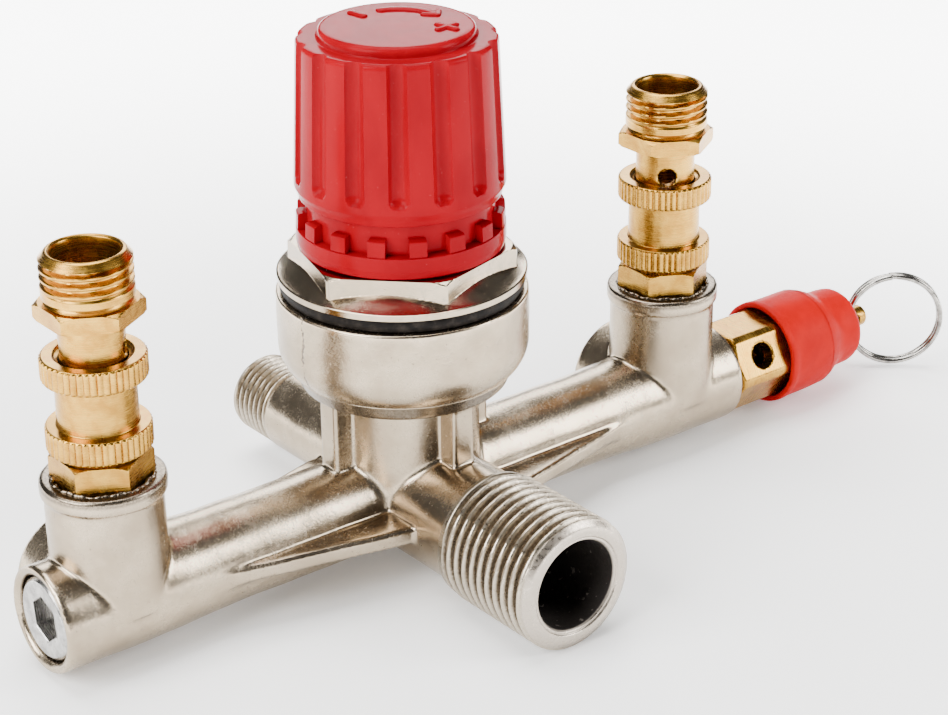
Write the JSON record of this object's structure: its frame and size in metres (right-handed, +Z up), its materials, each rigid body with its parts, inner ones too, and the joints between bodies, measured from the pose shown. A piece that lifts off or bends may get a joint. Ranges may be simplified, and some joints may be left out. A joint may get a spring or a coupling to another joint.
{
  "type": "air compressor regulator manifold with safety valve",
  "caption": "Cast cross-shaped air manifold with a red-knobbed diaphragm regulator, brass sleeve shut-off outlets, threaded pipe ends, a socket plug and a pull-ring safety valve.",
  "frame": {"origin": "under the middle of the assembly, at the level of its lowest point", "axes": "+X along the bar towards the safety valve, +Y from the large threaded end towards the small one, +Z up the regulator towards the knob"},
  "size_m": [0.179, 0.0816, 0.0858],
  "materials": {
    "nickel_casting": "warm nickel-plated zinc casting, glossy with pits and sandy patches",
    "brass": "turned brass, satin",
    "zinc_steel": "zinc-plated steel",
    "plug_steel": "zinc-plated steel, satin",
    "ring_steel": "nickel-plated spring wire",
    "spring_steel": "bare spring steel",
    "black_rubber": "matt black rubber",
    "red_plastic": "glossy moulded red plastic",
    "red_vinyl": "soft satin orange-red vinyl"
  },
  "bodies": {
    "manifold": {"manifold_body": "nickel_casting", "seat_insert": "brass", "poppet_spring": "spring_steel", "diaphragm": "black_rubber", "bonnet": "nickel_casting", "bonnet_gasket": "black_rubber", "main_spring": "spring_steel", "thrust_washer": "zinc_steel", "lock_ring": "red_plastic", "end_plug": "plug_steel", "left_valve_foot": "brass", "left_valve_tube": "brass", "right_valve_foot": "brass", "right_valve_tube": "brass", "safety_body": "brass", "safety_spring": "spring_steel", "safety_retainer": "brass", "safety_cap": "red_vinyl"},
    "screw": {"adjusting_screw": "zinc_steel"},
    "knob": {"knob": "red_plastic"},
    "spring_nut": {"spring_nut": "brass"},
    "diaphragm_stem": {"diaphragm_hub": "brass", "diaphragm_plate": "zinc_steel", "poppet": "brass", "poppet_seal": "black_rubber"},
    "left_sleeve": {"left_sleeve": "brass", "left_sleeve_lower_seal": "black_rubber", "left_sleeve_upper_seal": "black_rubber"},
    "right_sleeve": {"right_sleeve": "brass", "right_sleeve_lower_seal": "black_rubber", "right_sleeve_upper_seal": "black_rubber"},
    "safety_stem": {"safety_stem": "brass", "safety_seal": "black_rubber"},
    "pull_ring": {"pull_ring": "ring_steel"}
  },
  "joints": [
    {"name": "knob_turn", "type": "hinge", "parent": "manifold", "child": "screw", "pos_m": [-0.02394, 0.0005, 0.07048], "axis": [0, 0, 1], "range_deg": [-540, 540]},
    {"name": "knob_lock", "type": "slide", "parent": "screw", "child": "knob", "axis": [0, 0, 1], "range_m": [-0.0015, 0]},
    {"name": "nut_travel", "type": "slide", "parent": "manifold", "child": "spring_nut", "axis": [0, 0, 1], "range_m": [-0.0019, 0.0019], "deforming": ["main_spring"]},
    {"name": "diaphragm_stroke", "type": "slide", "parent": "manifold", "child": "diaphragm_stem", "axis": [0, 0, 1], "range_m": [-0.0008, 0], "stiffness_N_per_m": 1500, "deforming": ["poppet_spring"]},
    {"name": "left_sleeve_slide", "type": "slide", "parent": "manifold", "child": "left_sleeve", "axis": [0, 0, 1], "range_m": [0, 0.0054]},
    {"name": "right_sleeve_slide", "type": "slide", "parent": "manifold", "child": "right_sleeve", "axis": [0, 0, 1], "range_m": [0, 0.0054]},
    {"name": "safety_lift", "type": "slide", "parent": "manifold", "child": "safety_stem", "axis": [1, 0, 0], "range_m": [0, 0.0015], "stiffness_N_per_m": 1500},
    {"name": "ring_swing", "type": "hinge", "parent": "safety_stem", "child": "pull_ring", "pos_m": [0.07556, 0.0005, 0.01048], "axis": [0, 0, 1], "range_deg": [-45, 120]}
  ],
  "couplings": [
    {"joint": "nut_travel", "follows": "knob_turn", "m_per_rad": 0.00019894}
  ]
}
